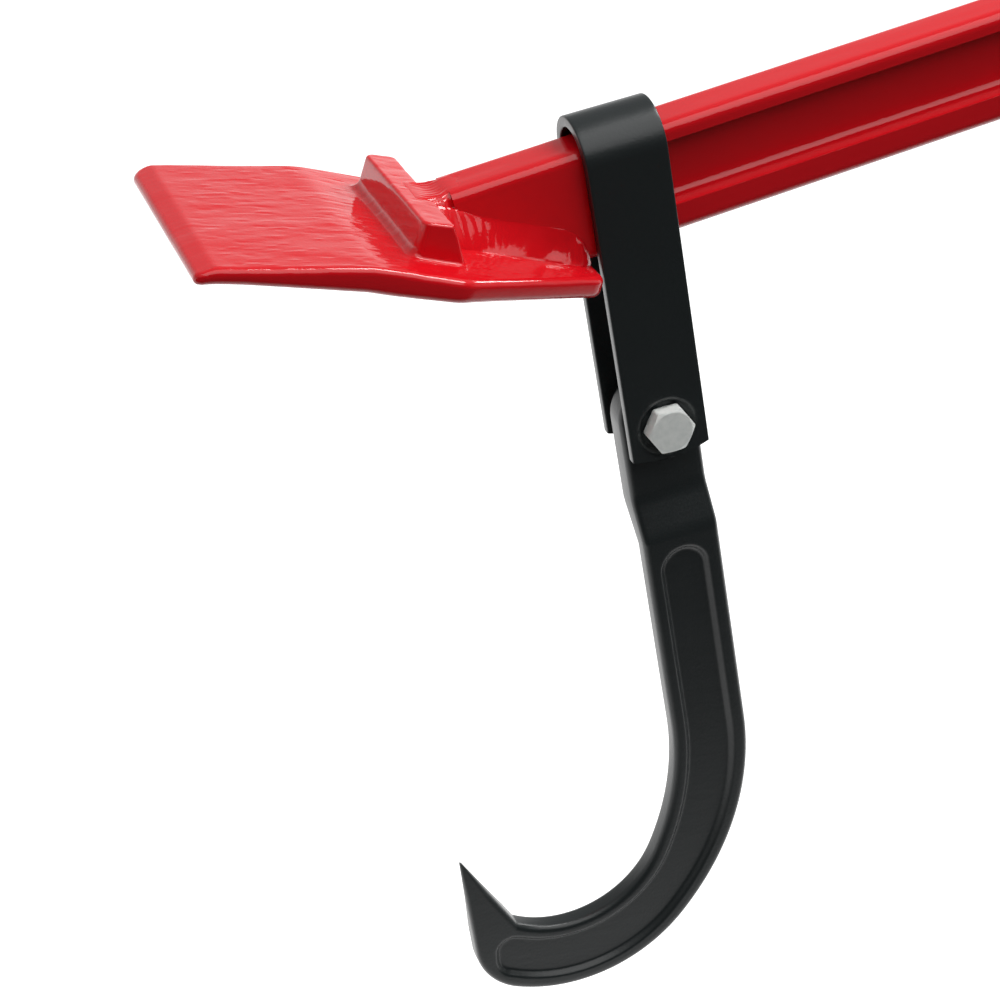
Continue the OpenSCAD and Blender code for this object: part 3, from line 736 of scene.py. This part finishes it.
# %% The hook's faces
TANG_HALF, BODY_NEAR, BODY_FAR = 6.3, 12.45, 3.15
JOGGLE_NEAR, JOGGLE_FAR, SOFT = (31.7, 47), (34.7, 50), 0.35
BODY_THICK, TIP_THICK, GRIND = BODY_NEAR - BODY_FAR, 1.2, 34


def hook_faces(x, z):
    """Places of the near and far faces, in Y: the tang's, then the joggle's soft ramp in z, then the body's.

    Past the small arc's centre the far face comes in towards the near one, where the point is ground thin."""
    near = -TANG_HALF - (BODY_NEAR - TANG_HALF) * ramp(-z, *JOGGLE_NEAR, SOFT)
    far = TANG_HALF - (TANG_HALF + BODY_FAR) * ramp(-z, *JOGGLE_FAR, SOFT)
    ground = near + TIP_THICK + np.clip(POINT[1] - z, 0, None) * (BODY_THICK - TIP_THICK) / GRIND
    return near, np.where(x < IN_C2[0], np.minimum(far, ground), far)


def inside(points, loop):
    """Distance from points to a closed loop: the least distance to its edges, positive inside.

    A point is inside where a line from it crosses the loop an odd number of times."""
    a, b = loop, np.roll(loop, -1, 0)
    p = points.reshape(-1, 1, 2)
    d = b - a
    t = np.clip(((p - a) * d).sum(-1) / (d * d).sum(-1), 0, 1)
    least = np.linalg.norm(p - a - t[..., None] * d, axis=-1).min(1)
    cross = ((a[:, 1] > p[..., 1]) != (b[:, 1] > p[..., 1])) & (
        p[..., 0] < d[:, 0] * (p[..., 1] - a[:, 1]) / np.where(d[:, 1] == 0, 1e-9, d[:, 1]) + a[:, 0])
    return np.where(cross.sum(1) % 2 == 1, least, -least).reshape(points.shape[:-1])


RIM_OUT, RIM_IN, PANEL_TOP = 5.8, 4.8, -52.8
PANEL_DEEP, PANEL_WALL = 2.2, 1.9


def panel_loop():
    """The sunk panel's outline: the edges moved in by the rim, closed by a square top and a slanting lower end."""
    out, back = outer_edge(np.linspace(0, 120, 40), RIM_OUT), inner_edge(np.linspace(121, 0, 40), RIM_IN)
    low = np.array([[POINT[0] + 5.5, OUT_C2[1] - 44.4], [POINT[0] + 7.6, OUT_C2[1] - 25.0]])
    points = np.concatenate([[[-HALF_W + RIM_IN, PANEL_TOP], [HALF_W - RIM_OUT, PANEL_TOP]], out, low, back])
    radii = [9.6, 9.6] + [0] * len(out) + [9, 7] + [0] * len(back)
    return np.concatenate(corner_arcs(points, radii, 8))


print("tang", 2 * TANG_HALF, "mm thick, body", round(BODY_THICK, 2), "mm, point", TIP_THICK, "mm")

# %% The hook's front face
EDGE_R, NARROW = 2.6, 9
inner, outer = edge_pairs()
width = np.linalg.norm(outer - inner, axis=1)[:, None]
reach = (outer - inner) / width
near_in, far_in = hook_faces(inner[:, :1], inner[:, 1:])
near_out, far_out = hook_faces(outer[:, :1], outer[:, 1:])
rim_in = np.minimum(np.minimum(EDGE_R, width * 0.42), (far_in - near_in) * 0.45)
rim_out = np.minimum(np.minimum(EDGE_R, width * 0.42), (far_out - near_out) * 0.45)
offsets = spaced([0, 1.4, 6.2], [0.7, 0.35])
left = rim_in + offsets * np.clip((width / 2 - rim_in) / NARROW, 0, 1)
right = rim_out + (offsets + 0.6) * np.clip((width / 2 - rim_out) / NARROW, 0, 1)
middle = left[:, -1:] + (width - right[:, -1:] - left[:, -1:]) * np.linspace(0, 1, 14)[1:-1]
flat = np.concatenate([left, middle, width - right[:, ::-1]], 1)
near_xz = inner[:, None] + flat[..., None] * reach[:, None]
near, far = hook_faces(near_xz[..., 0], near_xz[..., 1])
sunk = PANEL_DEEP * ramp(inside(near_xz, panel_loop()), 0.0, PANEL_WALL, 0.22)
print("edges", len(inner), "pairs of points, panel sunk", sunk.max().round(2), "mm")

# %% Make the hook
t = np.radians(np.linspace(0, 90, 7))[None, 1:]


def rounded_edge(offset, face, depth, sign, r):
    """A quarter round of radius r from a face to the edge's own face: sine out, one minus cosine down."""
    return offset - sign * r * np.sin(t), face + depth * r * (1 - np.cos(t))


near_l, near_r, far_l, far_r = near[:, :1], near[:, -1:], far[:, :1], far[:, -1:]
o1, y1 = rounded_edge(width - rim_out, near_r, 1, -1, rim_out)
o2, y2 = rounded_edge(width - rim_out, far_r, -1, -1, rim_out)
o3, y3 = rounded_edge(rim_in, far_l, -1, 1, rim_in)
o4, y4 = rounded_edge(rim_in, near_l, 1, 1, rim_in)
offset = np.concatenate([flat, o1, o2[:, ::-1], flat[:, ::-4], o3, o4[:, ::-1]], 1)
depth = np.concatenate([near + sunk, y1, y2[:, ::-1], far[:, ::-4], y3, y4[:, ::-1]], 1)
flat_xz = inner[:, None] + offset[..., None] * reach[:, None]
hook = np.stack([flat_xz[..., 0], depth, flat_xz[..., 1]], -1)
hook_forging = mesh_piece("hook_forging", at_bolt(hook), "hook_body", "hook", BLACK)

# %% [markdown]
# ## The strap
# Flat steel folded over the bar. Its middle line is a leg, half a turn over
# the crown and the other leg; the section is carried along it. A sheet with
# a Solidify modifier could do that, but here both faces sink by the same dish
# round the bolt, and the lower edge bulges down a little.

# %% Make the strap
CROWN_IN, CROWN_OUT, STRAP_W = 10.95, 14.95, 30.0
LEG_LOW, BULGE, SOFT_EDGE = 115.3, 2.5, 0.6
DISH_DEEP, DISH_R, DISH_OUT = 1.8, 9.8, 11.1


def dish(x, z):
    """Depth of the pressed dish: full inside its floor radius, fading over a short wall round it."""
    return DISH_DEEP * (1 - ramp(np.hypot(x - BOLT_X, z + BOLT_DROP), DISH_R, DISH_OUT, 0.16))


def strap_point(along_leg, x, out):
    """A point of the strap at x, at a distance out from the crown's axis.

    along_leg runs from -1 to 0 up the near leg, to 1 over the crown and to 2 down the far leg."""
    down = np.clip(np.maximum(-along_leg, along_leg - 1), 0, 1)
    turn = math.pi * np.clip(along_leg, 0, 1)
    low = LEG_LOW + BULGE * (1 - ((x - BOLT_X) / (STRAP_W / 2)) ** 2)
    z = out * np.sin(turn) - down * low
    sink = dish(x, z) * (down > 0)
    return np.stack(np.broadcast_arrays(x, -(out - sink) * np.cos(turn), z), -1)


leg = spaced([0, 0.72, 1], [0.04, 0.0065])
run = np.concatenate([-leg[::-1], np.linspace(0, 1, 61)[1:-1], 1 + leg])
t = np.radians(np.linspace(0, 90, 5))
bend_in, bend_out = SOFT_EDGE * (1 - np.sin(t)), SOFT_EDGE * (1 - np.cos(t))
x_flat = spaced([SOFT_EDGE, 4, 26, STRAP_W - SOFT_EDGE], [1.2, 0.7, 1.2])
x_back = x_flat[::-1][1:-1]
ring_x = np.concatenate([x_flat, STRAP_W - bend_in[1:], STRAP_W - bend_out, x_back, bend_in, bend_out[:-1]])
ring_o = np.concatenate([np.full(len(x_flat), CROWN_OUT), CROWN_OUT - bend_out[1:], CROWN_IN + bend_in,
                         np.full(len(x_back), CROWN_IN), CROWN_IN + bend_out, CROWN_OUT - bend_in[:-1]])
strap = strap_point(run[:, None], ring_x[None, :], ring_o[None, :])
folded_strap = mesh_piece("folded_strap", tipped(strap), "strap_set", "strap", BLACK)

# %% [markdown]
# The bolt goes through round holes in both legs and in the hook's tang. The
# grids have no circle there, so a cylinder cuts them with a Boolean modifier.
# It is applied at once: the finished mesh is what the piece keeps.

# %% Drill the pivot bores
BORE_R, DRILL_SIDES, DRILL_REACH = 5.25, 64, 30


def bore(piece):
    """Cuts a round hole along the bolt's axis through a piece: a boolean with a cylinder, which then goes."""
    t = np.linspace(0, 2 * math.pi, DRILL_SIDES + 1)[:-1]
    rings = np.stack([np.stack([BORE_R * np.cos(t), 0 * t + y, BORE_R * np.sin(t)], -1)
                      for y in (-DRILL_REACH, DRILL_REACH)])
    mesh = bpy.data.meshes.new("drill")
    mesh.from_pydata(at_bolt(rings).reshape(-1, 3).tolist(), [], grid_faces(2, DRILL_SIDES))
    drill = bpy.data.objects.new("drill", mesh)
    bpy.context.scene.collection.objects.link(drill)
    cut = piece.modifiers.new("bore", "BOOLEAN")
    cut.operation, cut.solver, cut.object = "DIFFERENCE", "EXACT", drill
    bpy.context.view_layer.update()
    solid = bpy.data.meshes.new_from_object(piece.evaluated_get(bpy.context.evaluated_depsgraph_get()))
    piece.modifiers.clear()
    piece.data = solid
    bpy.data.objects.remove(drill)
    solid.shade_smooth()
    solid.set_sharp_from_angle(angle=SHARP)
    print(piece.name, "bored, now", len(solid.polygons), "faces")


for piece in (folded_strap, hook_forging):
    bore(piece)

# %% [markdown]
# ## The bolt and its nut
# An M10 hexagon bolt is the hook's pivot; a nylon-ring lock nut holds it from
# behind, so that it stays loose enough to turn. Each is a stack of rings round
# the bolt's axis. A ring is round, hexagonal or something between: a share of
# the way from a radius to the hexagon's own distance in that direction. A
# six-sided cylinder is quicker, but has no curved edge where the corners are
# turned off, and no thread.

# %% Rings round the bolt
DISH_IN, BOLT_END, HEX_HALF, HEX_CORNER = 13.15, 27.15, 8.0, 9.08
turn = np.linspace(0, 2 * math.pi, 145)[:-1]
from_flat = (turn + TIP) % (math.pi / 3) - math.pi / 6
HEXAGON = np.minimum(HEX_HALF / np.cos(from_flat), HEX_CORNER)


def bolt_ring(radius, y, hexed=0.0):
    """A ring at the place y on the axis: hexed 0 is round with this radius, 1 is the hexagon."""
    r = radius + (HEXAGON - radius) * hexed + 0 * turn
    return np.stack(np.broadcast_arrays(r * np.cos(turn), y, r * np.sin(turn)), -1)


def hex_chamfer(y, height, inner=7.68):
    """Rings from a round edge out to the hexagon, falling half a millimetre for each one outwards."""
    return [bolt_ring(inner, y + height * 0.5 * (HEXAGON - inner) * q, q) for q in np.linspace(0, 1, 5)]


def turned_rings(profile, start=0.0):
    """Round rings for a profile of radii and places along the axis."""
    return [bolt_ring(r, start + y) for r, y in profile]


print("hexagon", 2 * HEX_HALF, "mm across flats,", (2 * HEXAGON.max()).round(2), "across corners")

# %% Make the bolt
SHANK_R, THREAD_R, THREAD_DEEP, THREAD_PITCH = 5, 4.98, 0.62, 1.5
HEAD, THREAD_FROM, CROWNING = 6.4, 20.2, 0.05
rings = [bolt_ring(r, -DISH_IN - HEAD + CROWNING * (r / 7.5) ** 2) for r in (0.05, 2.5, 5, 7.0, 7.5)]
rings += hex_chamfer(-DISH_IN - HEAD + CROWNING, 1)
rings += [bolt_ring(HEX_HALF, y, 1) for y in (-DISH_IN - 3, -DISH_IN - 0.75)]
rings += [bolt_ring(7.8, -DISH_IN - 0.6, 0.5)]
rings += turned_rings([(7.8, -0.5), (7.75, -0.05), (SHANK_R, 0)], -DISH_IN)
rings += turned_rings([(SHANK_R, y) for y in (-DISH_IN + 1, 0, DISH_IN, 20)])
for y in np.arange(THREAD_FROM, BOLT_END - 0.9, 0.16):
    wave = np.abs(((y / THREAD_PITCH - turn / (2 * math.pi)) % 1) * 2 - 1)
    rings.append(bolt_ring(THREAD_R - THREAD_DEEP * wave * ramp(y, THREAD_FROM, 21), y))
rings += turned_rings([(4.35, -0.75), (3.9, -0.12), (3.6, -0.02), (2, 0), (0.05, 0)], BOLT_END)
rings = np.stack(rings)
mesh_piece("hook_bolt", at_bolt(rings), "strap_set", "pivot_bolt", ZINC)

# %% Make the lock nut and its nylon ring
NUT_TOP = [(7.1, 7.4), (6.95, 7.45), (6.78, 7.6), (6.72, 7.9), (6.72, 9.3), (6.66, 9.6), (6.5, 9.84), (6.25, 9.97),
           (5.9, 10.0), (5.62, 9.93), (5.48, 9.75), (5.44, 9.5), (5.44, 9.25), (5.76, 9.2), (5.76, 7.4),
           (5.02, 7.4), (5.02, 0.6)]
INSERT = [(5.0, 7.42), (5.74, 7.42), (5.74, 9.1), (5.6, 9.2), (5.4, 9.34), (5.2, 9.36), (5.05, 9.28), (5.0, 9.1),
          (5.0, 7.42)]
rings = turned_rings([(5.02, 0.6), (5.6, 0), (7.5, 0)], DISH_IN) + hex_chamfer(DISH_IN + 0.02, 1)
rings += [bolt_ring(HEX_HALF, DISH_IN + 3.6, 1)] + hex_chamfer(DISH_IN + 7.4, -1)[::-1]
body = np.stack(rings + turned_rings(NUT_TOP, DISH_IN))
insert = np.stack(turned_rings(INSERT, DISH_IN))
mesh_piece("lock_nut_body", at_bolt(body), "strap_set", "lock_nut", ZINC, caps=False)
mesh_piece("nylon_ring", at_bolt(insert), "strap_set", "nut_insert", NYLON, caps=False)

# %% [markdown]
# ## The hand grip
# A moulded sleeve over the end of the bar. The photograph stops before it, so
# it is a plain generic one: a collar keeps the hand off the bar, shallow
# grooves give hold and a flange closes the end. An Array of rings could make
# the grooves, but their edges would need joining, so its section is the bar's
# section grown outwards, and the growth is a profile along the bar.

# %% The grip's profile
WALL, COLLAR_HIGH, FLANGE_HIGH, GROOVE_DEEP, GROOVES = 3.5, 4, 3, 1.2, 9
FRONT_R, END_R = 1.6, 2.4
pitch = (END_X - GRIP_X - 34) / GROOVES


def grip_growth(x):
    """Thickness over the bar at x: the wall, a collar in front, a flange at the end, and grooves with soft edges."""
    phase = (x - GRIP_X - 15) / pitch
    share = phase % 1
    groove = (ramp(share, 0.24, 0.36, 0.02) - ramp(share, 0.64, 0.76, 0.02)) * ((phase >= 0) & (phase < GROOVES))
    collar = COLLAR_HIGH * (1 - ramp(x, GRIP_X + 7.2, GRIP_X + 9.0, 0.3))
    flange = FLANGE_HIGH * ramp(x, END_X - 11.2, END_X - 9.4, 0.3)
    return WALL + collar + flange - GROOVE_DEEP * groove


t = np.radians(np.linspace(0, 90, 7))
front_x, front_g = GRIP_X + FRONT_R * (1 - np.sin(t)), WALL + COLLAR_HIGH - FRONT_R * (1 - np.cos(t))
body_x = spaced([GRIP_X + 1.8, GRIP_X + 6, GRIP_X + 11, END_X - 13, END_X - 8, END_X + 1], [1, 0.3, 0.45, 0.3, 1])
end_x, end_g = END_X + WALL - END_R * (1 - np.sin(t)), WALL + FLANGE_HIGH - END_R * (1 - np.cos(t))
x = np.concatenate([[GRIP_X] * 2, front_x[::-1], body_x, end_x, [END_X + WALL] * 2])[:, None]
g = np.concatenate([[0.1, 3.0], front_g[::-1], grip_growth(body_x), end_g, [1.0, -3.0]])[:, None]
print("grip profile", len(x), "stations,", GROOVES, "grooves at", round(pitch, 2), "mm")

# %% Make the grip
FLAT_Y, FLAT_Z = BAR_HALF - BAR_R, (BAR_TOP - BAR_LOW) / 2 - BAR_R
a = np.radians(np.linspace(0, 90, 9))
seam = np.array([3, 0.6, 0.25, 0, -0.25, -0.6, -3])
sides = []
for i, j in ((1, 1), (-1, 1), (-1, -1), (1, -1)):
    c, d = (np.cos(a), np.sin(a)) if i == j else (np.cos(a)[::-1], np.sin(a)[::-1])
    sides.append(np.stack([i * FLAT_Y + 0 * c, j * FLAT_Z + 0 * c, i * c, j * d]))
    if i == j:
        ridge = j * (1 + 0.03 * np.exp(-(seam / 0.3) ** 2))
        sides.append(np.stack([i * seam, j * FLAT_Z + 0 * seam, 0 * seam, ridge]))
sy, sz, cy, cz = np.concatenate(sides, 1)
grip = np.stack(np.broadcast_arrays(x, sy + cy * (BAR_R + g), BAR_MID + sz + cz * (BAR_R + g)), -1)
mesh_piece("moulded_grip", hang(grip), "lever", "hand_grip", RUBBER)

# %% [markdown]
# ## Floor, light and camera
# A pale floor lies under the hanging lever, as paper does in a studio, but its
# colour is painted darker towards the camera as painted shade, and for glossy
# rays it glows by that tone: a painted reflection, bright behind the lever and
# dark in front. A picture of a room could light it; plain lamps and a plain
# world are easier to steer. A long lamp on the right draws the white line
# along the blade's near edge, a small one behind it lights the tail's edge, and
# a wide dim one in front fills the rest. White walls on three sides give the
# gloss something to show; towards the camera the room stays dim, which keeps
# the strap dark.

# %% Helpers for the stage
def fade(nodes, links, value, low, high, start, stop):
    """A smooth change from start to stop while the value goes from low to high."""
    node = nodes.new("ShaderNodeMapRange")
    node.interpolation_type = "SMOOTHSTEP"
    for key, number in (("From Min", low), ("From Max", high), ("To Min", start), ("To Max", stop)):
        node.inputs[key].default_value = number
    links.new(value, node.inputs["Value"])
    return node.outputs["Result"]


def reckon(nodes, links, operation, *values):
    """A Math node on plain numbers and the outputs of other nodes."""
    node = nodes.new("ShaderNodeMath")
    node.operation = operation
    for place, value in zip(node.inputs, values):
        if isinstance(value, float):
            place.default_value = value
        else:
            links.new(value, place)
    return node.outputs[0]


def share_of(nodes, links, coordinate, direction):
    """How far a coordinate lies in a direction: their dot product."""
    node = nodes.new("ShaderNodeVectorMath")
    node.operation = "DOT_PRODUCT"
    node.inputs[1].default_value = direction
    links.new(coordinate, node.inputs[0])
    return node.outputs["Value"]


TO_FRONT, WHITE = (0.1, -0.995, 0.0), (1, 1, 1, 1)
print("the dim side of the room is towards", TO_FRONT)

# %% Floor
bpy.ops.mesh.primitive_plane_add(size=12, location=(0, 0, -0.62))
floor = bpy.context.object
floor.name = "floor"
paper, nodes, links, shader = material("paper_painted_shade")
shader.inputs["Roughness"].default_value = 0.9
shader.inputs["Emission Color"].default_value = WHITE
coord, ray, tone = (nodes.new("ShaderNode" + kind) for kind in ("TexCoord", "LightPath", "CombineColor"))
# The floor's colour is painted shade: it fades from 0.8 behind the lever to 0.02 towards the camera.
away = share_of(nodes, links, coord.outputs["Object"], TO_FRONT)
floor_tone_painted_shade = fade(nodes, links, away, low=-0.2, high=0.5, start=0.8, stop=0.02)
for channel in ("Red", "Green", "Blue"):
    links.new(floor_tone_painted_shade, tone.inputs[channel])
links.new(tone.outputs["Color"], shader.inputs["Base Color"])
# For camera rays the emission fills the painted shade back to white, so only cast shadows stay.
lack = reckon(nodes, links, "MULTIPLY_ADD", floor_tone_painted_shade, -0.6, 1.18)
seen = reckon(nodes, links, "MULTIPLY", lack, ray.outputs["Is Camera Ray"])
# For glossy rays the floor glows by 1.2 times its painted-shade tone: a painted reflection, bright behind the lever and
# dark in front.
painted_reflection = reckon(nodes, links, "MULTIPLY", ray.outputs["Is Glossy Ray"], 1.2)
glow = reckon(nodes, links, "MULTIPLY_ADD", floor_tone_painted_shade, painted_reflection, seen)
links.new(glow, shader.inputs["Emission Strength"])
floor.data.materials.append(paper)
print("floor at z =", floor.location.z)

# %% World
world = bpy.data.worlds.new("studio")
bpy.context.scene.world = world
world.use_nodes = True
nodes, links = world.node_tree.nodes, world.node_tree.links
coord, parts, ray, blend = (nodes.new("ShaderNode" + kind) for kind in ("TexCoord", "SeparateXYZ", "LightPath", "Mix"))
links.new(coord.outputs["Generated"], parts.inputs[0])
front_share = share_of(nodes, links, coord.outputs["Generated"], TO_FRONT)
side = fade(nodes, links, front_share, low=0.05, high=0.6, start=0.0, stop=1.0)
walls = fade(nodes, links, parts.outputs["Z"], low=0.08, high=0.45, start=1.05, stop=0.4)
room = fade(nodes, links, parts.outputs["Z"], low=0.35, high=0.75, start=0.03, stop=0.45)
for value, socket in ((side, "Factor"), (walls, "A"), (room, "B")):
    links.new(value, blend.inputs[socket])
strength = reckon(nodes, links, "MAXIMUM", blend.outputs["Result"], ray.outputs["Is Camera Ray"])
links.new(strength, nodes["Background"].inputs["Strength"])
nodes["Background"].inputs["Color"].default_value = WHITE
print("world", world.name, "with", len(nodes), "nodes")

# %% Lamps
def softbox(name, place, target, width, length, power):
    """An oblong area lamp at a place, turned towards a target, with its length upright."""
    data = bpy.data.lights.new(name, "AREA")
    data.shape, data.size, data.size_y, data.energy = "RECTANGLE", width, length, power
    lamp = bpy.data.objects.new(name, data)
    lamp.location = place
    lamp.rotation_mode = "QUATERNION"
    lamp.rotation_quaternion = (Vector(target) - Vector(place)).to_track_quat("-Z", "Y")
    bpy.context.scene.collection.objects.link(lamp)
    print("lamp", name, power, "W")


softbox("right_softbox", (0.283, -0.03, 1.21), (-0.61, -0.03, -0.125), width=0.42, length=0.74, power=14.0)
softbox("front_softbox", (-0.15, -1.0, 1.35), (-0.5, 0, -0.2), width=2.0, length=2.0, power=20.0)
softbox("right_back_softbox", (0.6, 0.47, 0.47), (-0.58, -0.04, -0.15), width=0.3, length=0.3, power=5.0)

# %% Camera
EYE, VIEW_RIGHT = (-0.85089, -0.77492, 0.19719), (0.9472, -0.320628, -0.003086)
VIEW_DOWN, VIEW_AHEAD = (-0.151256, -0.438312, -0.886005), (0.282725, 0.839691, -0.463666)
lens = bpy.data.cameras.new("camera")
lens.lens, lens.sensor_width = 91.2108, 36.0
camera = bpy.data.objects.new("camera", lens)
rows = [[right, -down, -ahead, eye] for right, down, ahead, eye in zip(VIEW_RIGHT, VIEW_DOWN, VIEW_AHEAD, EYE)]
camera.matrix_world = Matrix(rows + [[0, 0, 0, 1]])
bpy.context.scene.collection.objects.link(camera)
bpy.context.scene.camera = camera
bpy.context.scene.view_settings.view_transform = "Standard"
print("camera at", EYE, "with a lens of", lens.lens, "mm")
